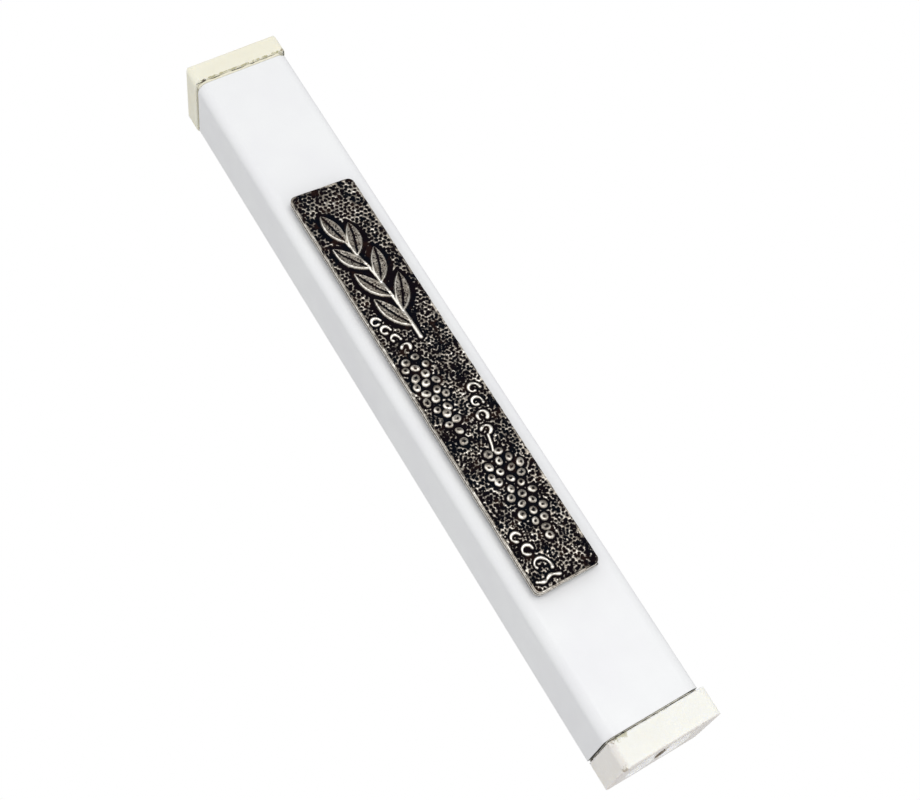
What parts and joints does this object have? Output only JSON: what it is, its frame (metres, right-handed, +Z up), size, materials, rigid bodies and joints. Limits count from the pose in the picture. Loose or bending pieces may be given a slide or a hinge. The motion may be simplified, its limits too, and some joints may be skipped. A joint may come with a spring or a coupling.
{
  "type": "mezuzah case",
  "caption": "Slim rectangular scroll case with pull-off end caps, a cast relief plaque on its front and a foam adhesive back for a doorpost.",
  "frame": {"origin": "middle of the foam strip's outer face, on the doorpost's surface", "axes": "+Z up along the case towards the top cap, +X to the right of someone facing the front, +Y into the doorpost"},
  "size_m": [0.0209, 0.0197, 0.1611],
  "materials": {
    "white_coating": "satin powder coat on aluminium, bare metal at the cut ends",
    "cream_plastic": "moulded, slightly yellowed, ragged flash at the joint",
    "ivory_plastic": "moulded, scuffed at one corner",
    "antiqued_casting": "zinc alloy casting with a dark antique wash, rubbed bright on the high points",
    "grey_foam": "thin double-sided foam pad",
    "white_foam": "double-sided foam strip with a tacky face",
    "parchment": "dry rolled parchment",
    "clear_film": "thin clear film"
  },
  "bodies": {
    "case": {"case_tube": "white_coating", "plaque": "antiqued_casting", "plaque_tape": "grey_foam", "mounting_tape": "white_foam"},
    "top_cap": {"top_cap": "cream_plastic"},
    "bottom_cap": {"bottom_cap": "ivory_plastic"},
    "scroll": {"scroll": "parchment", "scroll_wrap": "clear_film"}
  },
  "joints": [
    {"name": "top_cap_pull", "type": "slide", "parent": "case", "child": "top_cap", "axis": [0, 0, 1], "range_m": [0, 0.015]},
    {"name": "bottom_cap_pull", "type": "slide", "parent": "case", "child": "bottom_cap", "axis": [0, 0, -1], "range_m": [0, 0.132]},
    {"name": "scroll_slide", "type": "slide", "parent": "case", "child": "scroll", "axis": [0, 0, -1], "range_m": [0, 0.132]}
  ],
  "couplings": [
    {"joint": "scroll_slide", "follows": "bottom_cap_pull", "ratio": 1}
  ]
}
